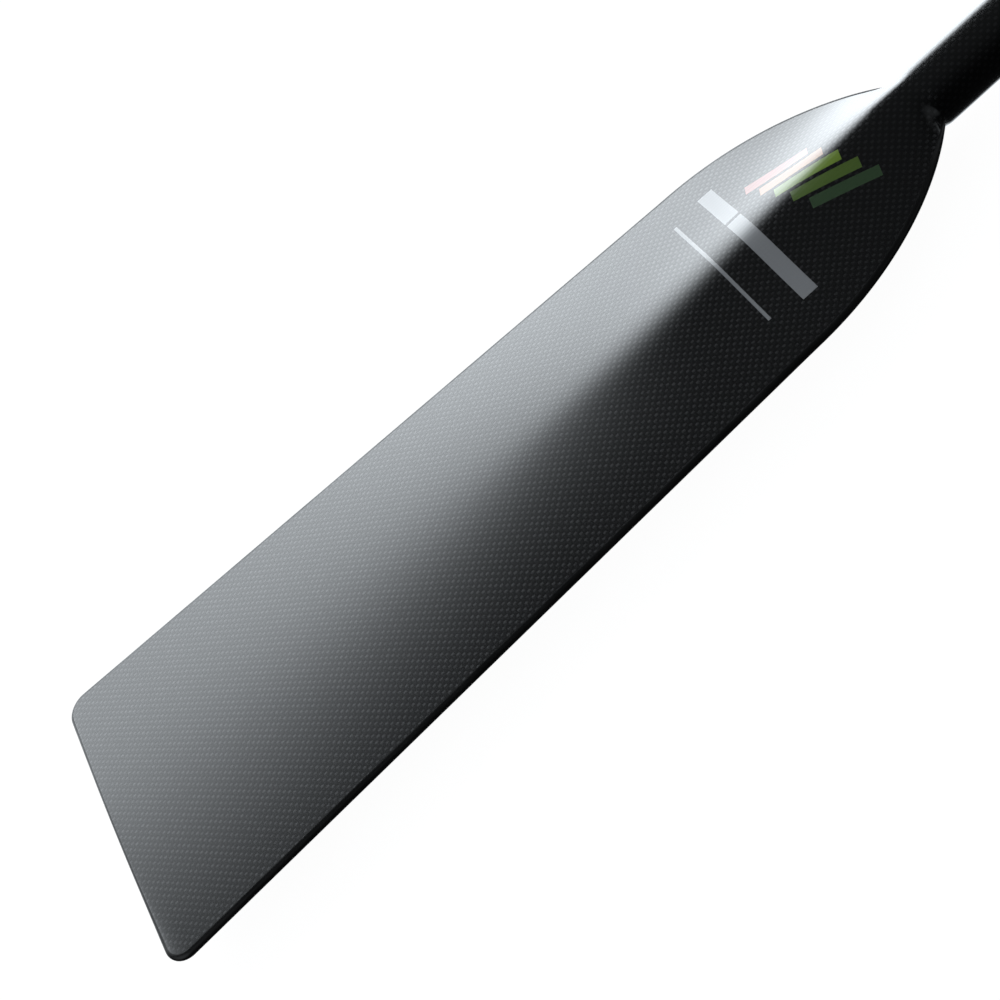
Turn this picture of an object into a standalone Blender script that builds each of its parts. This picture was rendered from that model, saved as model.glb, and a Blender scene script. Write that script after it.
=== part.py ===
"""Adjustable carbon dragon boat paddle, lying flat: metres, +Z up, blade tip towards -X, T-grip towards +X.

Lengthways positions are stations: distances from the blade's tip. place() turns a station, and a point of
the section across it, into the part's frame, whose origin is under the middle of the paddle, on the floor.
"""

from math import acos, cos, degrees, pi, radians, sin, sqrt

import bmesh
import bpy
from mathutils import Vector

MM = 0.001

# Overall
LENGTH = 1162 * MM  # tip to grip, with the handle pushed in
GRIP_HEIGHT = 19.5 * MM  # half height of the grip, which holds the shaft's axis off the floor
GAP = 0.3 * MM  # between pieces that touch

# Blade outline
TIP_HALF_WIDTH = 87.3 * MM
TAPER = 0.0563  # loss of half width for each metre towards the neck
CORNER_RADIUS = 11 * MM
SHOULDER_RADIUS = 150.1 * MM
SHOULDER_STATION = 368 * MM  # centre of the shoulder's arc
SHOULDER_OFFSET = -83.7 * MM  # the centre lies across the axis from its arc
SHOULDER_START = 376.4 * MM
RIM_END = 478 * MM

# Blade section
EDGE_HALF = 2 * MM
RIM_WIDTH = 3 * MM
RIM_TAPER_START = 452 * MM
RIM_TAPER_LENGTH = 28 * MM
RIM_TAPER_LOSS = 1.6 * MM
TIP_CROWN = 2.4 * MM
NECK_CROWN = 13.3 * MM
RIDGE_AT_NECK = 0.22  # roundness of the ridge, as a share of the half width
RIDGE_AT_TIP = 1.12
BELL_SHARE = 0.4  # how far the roof-like section turns into a bell near the neck
BELL_WIDTH = 20 * MM
BELL_START = 200 * MM
BELL_END = 440 * MM
NOSE = [(1.0, 1.0), (0.42, 0.98), (0.14, 0.76), (0.0, 0.34)]  # the rim's section, as shares of its size
SHARE_BENT = 0.45  # how much of a skin's division across follows a sine
SKIN = 1.2 * MM
CORE_GAP = 0.5 * MM
CORE_START = 4.6 * MM
CORE_END = 448 * MM
WEB_HALF = 1.9 * MM
WEB_START = 20 * MM

# Neck, shaft and spigot
ROUNDING_START = 458 * MM
ROUNDING_END = 488 * MM
NECK_END = 543 * MM
SHAFT_RADIUS = 15.3 * MM
SHAFT_WALL = 1.5 * MM
SHAFT_END = 990 * MM
SEAM_ANGLE = radians(0.8)
SPIGOT_START = 494 * MM
SPIGOT_END = 602 * MM
SPIGOT_RADIUS = 13.45 * MM
SPIGOT_BORE = 11.6 * MM
PLUG_LENGTH = 10 * MM
PLUG_INSET = 2 * MM

# Handle and bush
HANDLE_START = 778 * MM
HANDLE_END = 1124 * MM
HANDLE_RADIUS = 12.7 * MM
HANDLE_BORE = 11.5 * MM
BUSH_LENGTH = 38 * MM
BUSH_FLANGE = 2 * MM
STOP_LENGTH = 14 * MM
STOP_CHAMFER = 1 * MM
RING_RADIUS = 1.0 * MM
RING_MIDDLE = 12.4 * MM
RING_CLEARANCE = 0.09 * MM

# Clamp, with its own section coordinates measured from the shaft's axis
CLAMP_STATION = 974 * MM
CLAMP_WIDTH = 28 * MM
CLAMP_RADIUS = 18 * MM
CLAMP_BORE = SHAFT_RADIUS + GAP
SLOT_HALF = 1.5 * MM
LUG_SIDE = 6.5 * MM
LUG_TOP = 28 * MM
BOLT_HEIGHT = 23.1 * MM
BOLT_RADIUS = 2 * MM
PIVOT_SIDE = 13.1 * MM
CAM_RADIUS = 4.2 * MM
CAM_OFFSET = 0.5 * MM
LEVER_WIDTH = 24 * MM
LEVER_INSIDE = 18.9 * MM
LEVER_OUTSIDE = 22.4 * MM
PLATE_THICKNESS = 1.3 * MM
NUT_RADIUS = 5.2 * MM
NUT_LENGTH = 6.2 * MM
NUT_FLUTES = 12
FLUTE_DEPTH = 0.35 * MM
BOLT_END = 2 * MM  # length of the bolt beyond the nut
PLATE_INSET = 3 * MM
PLATE_HALF = 4.2 * MM
LEVER_SLOT_REACH = 5.5 * MM
ARM_START = 33  # degrees from the shaft's side
ARM_END = -25

# Grip
GRIP_STATION = 1146 * MM
GRIP_DEPTH = 16 * MM  # half size lengthways
GRIP_END_DEPTH = 12.5 * MM
GRIP_END_HEIGHT = 14 * MM
GRIP_HALF_WIDTH = 48 * MM
GRIP_FLAT = 30 * MM  # half width over which the grip keeps its full height
GRIP_DROOP = 3 * MM
GRIP_WALL = 2.5 * MM
CAP_THICKNESS = 4 * MM
CORE_BAR_RADIUS = 8 * MM
STEM_RADIUS = 11.2 * MM
STEM_START = 1082 * MM
PIN_STATION = 1102 * MM
PIN_RADIUS = 1.8 * MM
CORE_BAR_INSET = 1.5 * MM
COLLAR_OVERLAP = 12 * MM  # length of the neck ring round the handle tube
COLLAR_WALL = 1.2 * MM
COLLAR_RADIUS = 17 * MM
REACH = 20 * MM  # half length of tools that go right through

SEGMENTS = 32
BOLT_SEGMENTS = 20
PIN_SEGMENTS = 16
ACROSS = 20  # divisions across a blade skin

for old in list(bpy.data.objects):
    bpy.data.objects.remove(old)


def finish(name, colour, roughness, metallic=0.0):
    """A plain Principled material."""
    material = bpy.data.materials.new(name)
    material.use_nodes = True
    shader = material.node_tree.nodes["Principled BSDF"]
    shader.inputs["Base Color"].default_value = (*colour, 1.0)
    shader.inputs["Roughness"].default_value = roughness
    shader.inputs["Metallic"].default_value = metallic
    return material


CARBON = finish("carbon_weave", (0.035, 0.036, 0.038), 0.12)
EDGE_RESIN = finish("edge_resin", (0.010, 0.010, 0.011), 0.15)
FOAM = finish("core_foam", (0.72, 0.68, 0.55), 0.9)
PLAIN_CARBON = finish("plain_carbon", (0.03, 0.03, 0.032), 0.4)
BLACK_NYLON = finish("black_nylon", (0.025, 0.025, 0.027), 0.5)
GREY_NYLON = finish("grey_nylon", (0.20, 0.20, 0.21), 0.5)
STEEL = finish("steel", (0.62, 0.62, 0.63), 0.3, 1.0)
ALUMINIUM = finish("aluminium", (0.70, 0.71, 0.72), 0.35, 1.0)
RUBBER = finish("rubber", (0.02, 0.02, 0.02), 0.8)
GRIP_PLASTIC = finish("grip_plastic", (0.03, 0.03, 0.032), 0.45)


def place(station, y, z):
    """A station and a point of its section, measured from the shaft's axis, in the part's frame."""
    return Vector((station - LENGTH / 2, y, z + GRIP_HEIGHT))


def add(name, mesh, material, origin=None, angle=30):
    """Closes the mesh with its faces outwards, and adds it as an object whose origin is at the given point."""
    bmesh.ops.remove_doubles(mesh, verts=mesh.verts, dist=1e-7)
    bmesh.ops.recalc_face_normals(mesh, faces=mesh.faces)
    if mesh.calc_volume(signed=True) < 0:
        bmesh.ops.reverse_faces(mesh, faces=mesh.faces)
    if origin is not None:
        bmesh.ops.translate(mesh, verts=mesh.verts, vec=-origin)
    data = bpy.data.meshes.new(name)
    mesh.to_mesh(data)
    mesh.free()
    data.materials.append(material)
    data.shade_smooth()
    data.set_sharp_from_angle(angle=radians(angle))
    thing = bpy.data.objects.new(name, data)
    if origin is not None:
        thing.location = origin
    bpy.context.scene.collection.objects.link(thing)
    return thing


def sheet(name, top, bottom, material):
    """A solid between two grids of points, with a wall round their borders."""
    mesh = bmesh.new()
    grids = [[[mesh.verts.new(p) for p in row] for row in grid] for grid in (top, bottom)]
    rows, columns = len(top), len(top[0])
    for grid in grids:
        for i in range(rows - 1):
            for j in range(columns - 1):
                mesh.faces.new((grid[i][j], grid[i + 1][j], grid[i + 1][j + 1], grid[i][j + 1]))
    border = [(i, 0) for i in range(rows)] + [(rows - 1, j) for j in range(1, columns)]
    border += [(i, columns - 1) for i in range(rows - 2, -1, -1)] + [(0, j) for j in range(columns - 2, 0, -1)]
    for (i, j), (k, m) in zip(border, border[1:] + border[:1]):
        mesh.faces.new((grids[0][i][j], grids[0][k][m], grids[1][k][m], grids[1][i][j]))
    return add(name, mesh, material)


def loft(name, rings, material):
    """A solid through a row of rings with the same number of points, closed at both ends."""
    mesh = bmesh.new()
    loops = [[mesh.verts.new(p) for p in ring] for ring in rings]
    for first, second in zip(loops, loops[1:]):
        for j in range(len(first)):
            k = (j + 1) % len(first)
            mesh.faces.new((first[j], first[k], second[k], second[j]))
    mesh.faces.new(loops[0])
    mesh.faces.new(loops[-1])
    return add(name, mesh, material)


def turned(name, profile, centre, axis, material, segments=SEGMENTS, origin=None):
    """A turned solid. The profile's (along, radius) points go once round the section, or from axis to axis."""
    mesh = bmesh.new()
    side = Vector((0, 0, 1)) if abs(axis.z) < 0.5 else Vector((0, 1, 0))
    points = [mesh.verts.new(centre + axis * along + side * radius) for along, radius in profile]
    edges = [mesh.edges.new(pair) for pair in zip(points, points[1:])]
    if profile[0][1] > 0:
        edges.append(mesh.edges.new((points[-1], points[0])))
    geometry = points + edges
    bmesh.ops.spin(mesh, geom=geometry, cent=centre, axis=axis, angle=2 * pi, steps=segments, use_merge=True)
    return add(name, mesh, material, origin)


def prism(name, outline, low, high, material, origin=None, angle=30):
    """An outline of (y, z) section points, pulled lengthways from the low station to the high one."""
    mesh = bmesh.new()
    face = mesh.faces.new([mesh.verts.new(place(low, y, z)) for y, z in outline])
    pulled = bmesh.ops.extrude_face_region(mesh, geom=[face])
    moved = [v for v in pulled["geom"] if isinstance(v, bmesh.types.BMVert)]
    bmesh.ops.translate(mesh, verts=moved, vec=(high - low, 0, 0))
    return add(name, mesh, material, origin, angle)


def block(low, high, name, material):
    """A box between two corners, each a (station, y, z)."""
    outline = [(low[1], low[2]), (high[1], low[2]), (high[1], high[2]), (low[1], high[2])]
    return prism(name, outline, low[0], high[0], material)


def combine(thing, tool, operation="DIFFERENCE"):
    """Cuts or joins a tool, which isn't part of the paddle, into a thing."""
    tool.hide_render = True
    tool.display_type = "WIRE"
    modifier = thing.modifiers.new(tool.name, "BOOLEAN")
    modifier.operation = operation
    modifier.object = tool
    modifier.solver = "EXACT"


def arc(radius, start, end, steps, centre=(0.0, 0.0)):
    """Points along an arc, with its angles in degrees from +Y towards +Z."""
    turns = [radians(start + (end - start) * i / steps) for i in range(steps + 1)]
    return [(centre[0] + radius * cos(t), centre[1] + radius * sin(t)) for t in turns]


def smooth(value):
    value = min(max(value, 0.0), 1.0)
    return value * value * (3 - 2 * value)


def half_width(station, inset=0.0):
    """Half width of the blade's outline at a station, for the outline moved inwards by the inset."""
    if station < CORNER_RADIUS:
        centre = TIP_HALF_WIDTH - TAPER * CORNER_RADIUS - CORNER_RADIUS
        reach = (CORNER_RADIUS - inset) ** 2 - (CORNER_RADIUS - station) ** 2
        return centre + sqrt(max(reach, 0.0))
    if station < SHOULDER_START:
        return TIP_HALF_WIDTH - TAPER * station - inset
    return SHOULDER_OFFSET + sqrt((SHOULDER_RADIUS - inset) ** 2 - (station - SHOULDER_STATION) ** 2)


def rim_width(station):
    """The rim narrows where it runs out against the neck."""
    return RIM_WIDTH - RIM_TAPER_LOSS * min(max((station - RIM_TAPER_START) / RIM_TAPER_LENGTH, 0.0), 1.0)


def roundness(station):
    """0 where the section is the blade's, 1 where it is the round neck's."""
    return smooth((station - ROUNDING_START) / (ROUNDING_END - ROUNDING_START))


def panel_width(station):
    """Half width of the crowned panel inside the rim."""
    if station > RIM_END:
        return 0.8 * SHAFT_RADIUS
    return half_width(station, rim_width(station) + GAP)


def bell(y):
    return 1 / (1 + (y / BELL_WIDTH) ** 2)


def crown(station, across):
    """Height of the blade's face above its middle plane, for a share of the panel's half width."""
    along = min(station / ROUNDING_START, 1.0)
    height = TIP_CROWN + (NECK_CROWN - TIP_CROWN) * along**2
    ridge = RIDGE_AT_NECK + (RIDGE_AT_TIP - RIDGE_AT_NECK) * (1 - along) ** 1.5
    full = sqrt(1 + ridge**2)
    roof = (full - sqrt(across**2 + ridge**2)) / (full - ridge)
    border = bell(panel_width(station))
    spine = (bell(across * panel_width(station)) - border) / (1 - border)
    share = BELL_SHARE * smooth((station - BELL_START) / (BELL_END - BELL_START))
    return EDGE_HALF + height * (roof + share * (spine - roof))


def skin_point(station, across, depth):
    """(y, z) of the front skin at a share of its half width, some depth under its outer face."""
    share = roundness(station)
    turn = across * (pi / 2 - SEAM_ANGLE)
    y = (1 - share) * across * panel_width(station) + share * (SHAFT_RADIUS - depth) * sin(turn)
    z = (1 - share) * (crown(station, abs(across)) - depth) + share * (SHAFT_RADIUS - depth) * cos(turn)
    return y, z


def spread(low, high, steps):
    return [low + (high - low) * i / steps for i in range(steps + 1)]


def skin_stations():
    """Close together round the corners, the shoulders and the neck, and far apart between them."""
    start = RIM_WIDTH + GAP
    corner = [CORNER_RADIUS - (CORNER_RADIUS - start) * cos(radians(a)) for a in (0, 22.5, 45, 67.5)]
    sides = spread(CORNER_RADIUS, SHOULDER_START, 10)
    shoulder = spread(SHOULDER_START, ROUNDING_START, 9)[1:]
    return corner + sides + shoulder + spread(ROUNDING_START, ROUNDING_END, 5)[1:] + [NECK_END]


def blade_skin(name, side):
    """One face of the blade, with half of the round neck; side is 1 for the front and -1 for the back."""
    shares = [sin(radians(a)) for a in spread(-90, 90, ACROSS)]
    straight = spread(-1, 1, ACROSS)
    shares = [SHARE_BENT * bent + (1 - SHARE_BENT) * even for bent, even in zip(shares, straight)]
    grids = []
    for depth in (0.0, SKIN):
        grid = []
        for station in skin_stations():
            points = [skin_point(station, share, depth) for share in shares]
            grid.append([place(station, y, side * z) for y, z in points])
        grids.append(grid)
    return sheet(name, grids[0], grids[1], CARBON)


def rim_section(outer, inner, height):
    """A nosed strip from the outline's (station, y) inwards; its nose is flat in the middle of its height."""
    lower = [(share, -rise) for share, rise in reversed(NOSE)]
    ring = []
    for share, rise in NOSE + lower:
        station = outer[0] + (inner[0] - outer[0]) * share
        y = outer[1] + (inner[1] - outer[1]) * share
        ring.append(place(station, y, rise * height))
    return ring


def rim_half():
    """Sections of one side of the rim, from the middle of the tip to the neck."""
    corner_y = half_width(0.0)
    rings = []
    for y in spread(0.0, corner_y, 5)[:-1]:
        rings.append(((0.0, y), (RIM_WIDTH, y), crown(RIM_WIDTH, y / corner_y)))
    for turn in spread(0, 90, 6)[:-1]:
        out = (CORNER_RADIUS * (1 - cos(radians(turn))), corner_y + CORNER_RADIUS * sin(radians(turn)))
        reach = CORNER_RADIUS - RIM_WIDTH
        back = (CORNER_RADIUS - reach * cos(radians(turn)), corner_y + reach * sin(radians(turn)))
        rings.append((out, back, EDGE_HALF))
    sides = spread(CORNER_RADIUS, SHOULDER_START, 5) + spread(SHOULDER_START, RIM_TAPER_START, 8)[1:]
    for station in sides + spread(RIM_TAPER_START, RIM_END, 5)[1:]:
        border, height = skin_point(station, 1.0, 0.0)
        rings.append(((station, half_width(station)), (station, border + GAP), height))
    return rings


def blade_rim():
    half = rim_half()
    mirrored = [((a[0], -a[1]), (b[0], -b[1]), h) for a, b, h in reversed(half[1:])]
    return loft("blade_edge_rim", [rim_section(*ring) for ring in mirrored + half], EDGE_RESIN)


def blade_core(name, side):
    """Foam on one side of the web, between the two skins."""
    stations = [s for s in skin_stations() if CORE_START < s < CORE_END]
    stations = [CORE_START] + stations + [CORE_END]
    grids = []
    for face in (1, -1):
        grid = []
        for station in stations:
            panel = panel_width(station)
            row = []
            for y in spread(WEB_HALF + GAP, panel - CORE_GAP, 7):
                height = crown(station, y / panel) - SKIN - CORE_GAP
                row.append(place(station, side * y, face * height))
            grid.append(row)
        grids.append(grid)
    return sheet(name, grids[0], grids[1], FOAM)


def blade_web():
    grids = []
    for face in (1, -1):
        grid = []
        for station in spread(WEB_START, CORE_END, 14):
            height = crown(station, WEB_HALF / panel_width(station)) - SKIN - CORE_GAP
            grid.append([place(station, y, face * height) for y in (-WEB_HALF, WEB_HALF)])
        grids.append(grid)
    return sheet("blade_spine_web", grids[0], grids[1], PLAIN_CARBON)


X_AXIS = Vector((1, 0, 0))
Y_AXIS = Vector((0, 1, 0))
Z_AXIS = Vector((0, 0, 1))


def tube(name, low, high, bore, radius, material):
    """A plain tube along the shaft's axis, between two stations."""
    profile = [(low, bore), (low, radius), (high, radius), (high, bore)]
    return turned(name, profile, place(0, 0, 0), X_AXIS, material)


def rod(name, low, high, radius, centre, axis, material, segments=SEGMENTS, origin=None):
    profile = [(low, 0.0), (low, radius), (high, radius), (high, 0.0)]
    return turned(name, profile, centre, axis, material, segments, origin)


def blade():
    blade_skin("blade_front_skin", 1)
    blade_skin("blade_back_skin", -1)
    blade_rim()
    blade_core("blade_core_left", 1)
    blade_core("blade_core_right", -1)
    blade_web()


def shaft():
    axis_start = place(0, 0, 0)
    tube("neck_spigot", SPIGOT_START, SPIGOT_END, SPIGOT_BORE, SPIGOT_RADIUS, PLAIN_CARBON)
    plug_start = SPIGOT_START + PLUG_INSET
    rod("neck_plug", plug_start, plug_start + PLUG_LENGTH, SPIGOT_BORE - GAP, axis_start, X_AXIS, FOAM)
    bore = SHAFT_RADIUS - SHAFT_WALL
    shaft_tube = tube("shaft_tube", NECK_END + GAP, SHAFT_END, bore, SHAFT_RADIUS, CARBON)
    slit_low = (SHAFT_END - 1.6 * CLAMP_WIDTH, -MM, 0.7 * SHAFT_RADIUS)
    slit = block(slit_low, (SHAFT_END + MM, MM, 1.2 * SHAFT_RADIUS), "slit_tool", STEEL)
    combine(shaft_tube, slit)
    inside, outside = HANDLE_RADIUS + GAP, bore - GAP
    mouth = SHAFT_END + GAP
    profile = [(mouth - BUSH_LENGTH, inside), (mouth - BUSH_LENGTH, outside), (mouth, outside)]
    profile += [(mouth, SHAFT_RADIUS), (mouth + BUSH_FLANGE, SHAFT_RADIUS), (mouth + BUSH_FLANGE, inside)]
    turned("shaft_bush", profile, axis_start, X_AXIS, GREY_NYLON)


def clamp_collar(low, high):
    """A split ring with two lugs, drawn as one outline of its section."""
    inner = degrees(acos(SLOT_HALF / CLAMP_BORE))
    outer = degrees(acos(LUG_SIDE / CLAMP_RADIUS))
    outline = arc(CLAMP_BORE, inner, -180 - inner, 36)
    outline += [(-SLOT_HALF, LUG_TOP), (-LUG_SIDE, LUG_TOP)]
    outline += arc(CLAMP_RADIUS, 180 - outer, 360 + outer, 36)
    outline += [(LUG_SIDE, LUG_TOP), (SLOT_HALF, LUG_TOP)]
    collar = prism("clamp_collar", outline, low, high, BLACK_NYLON)
    middle = place(CLAMP_STATION, 0, BOLT_HEIGHT)
    hole = BOLT_RADIUS + GAP
    combine(collar, rod("bolt_hole_tool", -REACH, REACH, hole, middle, Y_AXIS, STEEL, BOLT_SEGMENTS))


def clamp_lever(low, high):
    """A cam head with an arm that lies round the collar; it turns on the barrel."""
    pivot = place(CLAMP_STATION, PIVOT_SIDE, BOLT_HEIGHT)
    head = (PIVOT_SIDE - CAM_OFFSET, BOLT_HEIGHT)
    middle = (LEVER_INSIDE + LEVER_OUTSIDE) / 2
    tip = (middle * cos(radians(ARM_END)), middle * sin(radians(ARM_END)))
    outline = arc(CAM_RADIUS, -10, 250, 20, head)
    outline += arc(LEVER_INSIDE, ARM_START, ARM_END, 12)
    outline += arc((LEVER_OUTSIDE - LEVER_INSIDE) / 2, 180 + ARM_END, 360 + ARM_END, 6, tip)[1:-1]
    outline += arc(LEVER_OUTSIDE, ARM_END, ARM_START, 12)
    lever = prism("clamp_lever", outline, low, high, BLACK_NYLON, pivot)
    hole = BOLT_RADIUS + GAP
    combine(lever, rod("pivot_hole_tool", -REACH, REACH, hole, pivot, X_AXIS, STEEL, BOLT_SEGMENTS))
    half = BOLT_RADIUS + 2 * GAP
    reach = LEVER_SLOT_REACH
    slot_low = (CLAMP_STATION - half, PIVOT_SIDE - 2 * reach, BOLT_HEIGHT - reach)
    slot_high = (CLAMP_STATION + half, PIVOT_SIDE + reach, BOLT_HEIGHT + reach)
    combine(lever, block(slot_low, slot_high, "lever_slot_tool", STEEL))


def tension_nut():
    """A fluted thumb nut on the bolt's free end."""
    start = place(CLAMP_STATION, -LUG_SIDE - GAP, BOLT_HEIGHT)
    turns = [2 * pi * i / (4 * NUT_FLUTES) for i in range(4 * NUT_FLUTES)]
    outside = [NUT_RADIUS + FLUTE_DEPTH * cos(NUT_FLUTES * turn) for turn in turns]
    inside = [BOLT_RADIUS + GAP] * len(turns)
    mesh = bmesh.new()
    loops = []
    for along, reaches in ((0.0, outside), (NUT_LENGTH, outside), (NUT_LENGTH, inside), (0.0, inside)):
        points = [start + Vector((r * cos(t), -along, r * sin(t))) for r, t in zip(reaches, turns)]
        loops.append([mesh.verts.new(point) for point in points])
    for first, second in zip(loops, loops[1:] + loops[:1]):
        for i in range(len(turns)):
            k = (i + 1) % len(turns)
            mesh.faces.new((first[i], first[k], second[k], second[i]))
    add("tension_nut", mesh, ALUMINIUM, start)


def clamp():
    low, high = CLAMP_STATION - CLAMP_WIDTH / 2, CLAMP_STATION + CLAMP_WIDTH / 2
    clamp_collar(low, high)
    axis_point = place(CLAMP_STATION, 0, BOLT_HEIGHT)
    bolt_start = -LUG_SIDE - NUT_LENGTH - BOLT_END
    bolt_end = PIVOT_SIDE - BOLT_RADIUS - GAP
    rod("clamp_bolt", bolt_start, bolt_end, BOLT_RADIUS, axis_point, Y_AXIS, STEEL, BOLT_SEGMENTS)
    pivot = place(CLAMP_STATION, PIVOT_SIDE, BOLT_HEIGHT)
    rod("clamp_barrel", -LEVER_WIDTH / 2, LEVER_WIDTH / 2, BOLT_RADIUS, pivot, X_AXIS, STEEL, BOLT_SEGMENTS)
    near = LUG_SIDE + GAP
    plate_low = (low + PLATE_INSET, near, BOLT_HEIGHT - PLATE_HALF)
    plate_high = (high - PLATE_INSET, near + PLATE_THICKNESS, BOLT_HEIGHT + PLATE_HALF)
    plate = block(plate_low, plate_high, "clamp_wear_plate", STEEL)
    hole = rod("plate_hole_tool", 0.0, REACH, BOLT_RADIUS + GAP, axis_point, Y_AXIS, STEEL, BOLT_SEGMENTS)
    combine(plate, hole)
    clamp_lever(CLAMP_STATION - LEVER_WIDTH / 2, CLAMP_STATION + LEVER_WIDTH / 2)
    tension_nut()


def handle():
    """Everything that slides in the shaft, below the grip."""
    axis_start = place(0, 0, 0)
    handle_tube = tube("handle_tube", HANDLE_START, HANDLE_END, HANDLE_BORE, HANDLE_RADIUS, CARBON)
    pin_point = place(PIN_STATION, 0, 0)
    hole = rod("tube_hole_tool", -REACH, REACH, PIN_RADIUS + GAP, pin_point, Z_AXIS, STEEL, PIN_SEGMENTS)
    combine(handle_tube, hole)
    rod("grip_pin", -HANDLE_RADIUS, HANDLE_RADIUS, PIN_RADIUS, pin_point, Z_AXIS, STEEL, PIN_SEGMENTS)
    shoulder = HANDLE_START - GAP
    low = shoulder - STOP_LENGTH
    stop = SHAFT_RADIUS - SHAFT_WALL - GAP - RING_CLEARANCE
    groove = RING_RADIUS + GAP
    middle = (low + shoulder) / 2
    floor = RING_MIDDLE - groove
    inside, end = HANDLE_BORE - GAP, shoulder + STOP_LENGTH
    profile = [(low, 0.0), (low, stop - STOP_CHAMFER), (low + STOP_CHAMFER, stop), (middle - groove, stop)]
    profile += [(middle - groove, floor), (middle + groove, floor), (middle + groove, stop), (shoulder, stop)]
    profile += [(shoulder, inside), (end, inside), (end, 0.0)]
    turned("handle_end_plug", profile, axis_start, X_AXIS, GREY_NYLON)
    section = arc(RING_RADIUS, 0, 360, 10, (middle, RING_MIDDLE))[:-1]
    turned("handle_o_ring", section, axis_start, X_AXIS, RUBBER)


def grip_oval(y, inset=0.0):
    """Centre station, half depth and half height of the grip's section at a distance from its middle."""
    share = abs(y) / GRIP_HALF_WIDTH
    fall = smooth((abs(y) - GRIP_FLAT) / (GRIP_HALF_WIDTH - GRIP_FLAT) / 2) * 2
    depth = GRIP_DEPTH + (GRIP_END_DEPTH - GRIP_DEPTH) * share**2
    height = GRIP_HEIGHT + (GRIP_END_HEIGHT - GRIP_HEIGHT) * fall
    return GRIP_STATION - GRIP_DROOP * share**2, depth - inset, height - inset


def grip_shell(name, side):
    """One half of the grip's shell, above or below its seam."""
    grids = []
    for inset in (0.0, GRIP_WALL):
        grid = []
        for y in spread(-GRIP_HALF_WIDTH, GRIP_HALF_WIDTH, 16):
            centre, depth, height = grip_oval(y, inset)
            row = []
            for turn in spread(0.0, pi, 18):
                z = max(height * sin(turn), GAP / 2)
                row.append(place(centre - depth * cos(turn), y, side * z))
            grid.append(row)
        grids.append(grid)
    return sheet(name, grids[0], grids[1], GRIP_PLASTIC)


def grip_cap(name, side):
    """A flat-ended cap on one end of the grip."""
    centre, depth, height = grip_oval(GRIP_HALF_WIDTH)
    start = GRIP_HALF_WIDTH + GAP
    rings = []
    for out, size in ((0.0, 1.0), (0.6 * CAP_THICKNESS, 0.98), (CAP_THICKNESS, 0.88)):
        ring = []
        for turn in spread(0.0, 2 * pi, SEGMENTS)[:-1]:
            station = centre + size * depth * cos(turn)
            ring.append(place(station, side * (start + out), size * height * sin(turn)))
        rings.append(ring)
    return loft(name, rings, GREY_NYLON)


def grip():
    bar_end = GRIP_HALF_WIDTH - CORE_BAR_INSET
    bar_centre = place(GRIP_STATION - GRIP_DROOP / 2, 0, 0)
    axis_start = place(0, 0, 0)
    core = rod("grip_core", STEM_START, GRIP_STATION, STEM_RADIUS, axis_start, X_AXIS, GREY_NYLON)
    combine(core, rod("bar_tool", -bar_end, bar_end, CORE_BAR_RADIUS, bar_centre, Y_AXIS, GREY_NYLON), "UNION")
    pin_point = place(PIN_STATION, 0, 0)
    hole = rod("stem_hole_tool", -REACH, REACH, PIN_RADIUS + GAP, pin_point, Z_AXIS, STEEL, PIN_SEGMENTS)
    combine(core, hole)
    room = STEM_RADIUS + 2 * GAP
    stem_hole = rod("shell_hole_tool", HANDLE_END, GRIP_STATION, room, axis_start, X_AXIS, STEEL)
    for name, side in (("grip_shell_top", 1), ("grip_shell_bottom", -1)):
        combine(grip_shell(name, side), stem_hole)
    low, high = HANDLE_END - COLLAR_OVERLAP, GRIP_STATION - GRIP_DEPTH - 3 * GAP
    step = HANDLE_END + GAP
    inside, narrow = HANDLE_RADIUS + GAP, STEM_RADIUS + GAP
    profile = [(low, inside), (low, inside + COLLAR_WALL), (high, COLLAR_RADIUS), (high, narrow)]
    profile += [(step, narrow), (step, inside)]
    turned("grip_neck_ring", profile, axis_start, X_AXIS, GRIP_PLASTIC)
    grip_cap("grip_end_cap_left", 1)
    grip_cap("grip_end_cap_right", -1)


blade()
shaft()
clamp()
handle()
grip()
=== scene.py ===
"""The looks of the adjustable carbon dragon boat paddle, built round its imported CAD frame.

Stations are distances from the blade's tip, as in the CAD source. All lengths are in metres.
"""

from math import cos, pi, radians, sin, sqrt

import bmesh
import bpy
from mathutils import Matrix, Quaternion, Vector


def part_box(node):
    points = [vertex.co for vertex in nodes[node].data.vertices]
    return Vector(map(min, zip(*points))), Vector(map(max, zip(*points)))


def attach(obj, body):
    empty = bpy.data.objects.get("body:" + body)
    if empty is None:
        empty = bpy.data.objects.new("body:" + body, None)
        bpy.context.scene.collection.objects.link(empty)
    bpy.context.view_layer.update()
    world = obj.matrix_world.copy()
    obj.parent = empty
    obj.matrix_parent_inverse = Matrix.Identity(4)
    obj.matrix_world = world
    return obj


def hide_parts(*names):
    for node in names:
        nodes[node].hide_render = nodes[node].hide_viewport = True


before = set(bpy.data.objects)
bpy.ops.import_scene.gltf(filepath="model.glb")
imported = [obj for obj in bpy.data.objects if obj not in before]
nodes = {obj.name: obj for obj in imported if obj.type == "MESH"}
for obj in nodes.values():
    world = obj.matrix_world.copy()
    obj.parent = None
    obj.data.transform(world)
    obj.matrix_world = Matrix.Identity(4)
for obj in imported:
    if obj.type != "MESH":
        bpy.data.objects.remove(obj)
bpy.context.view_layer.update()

MM = 0.001
scene = bpy.context.scene

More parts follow.
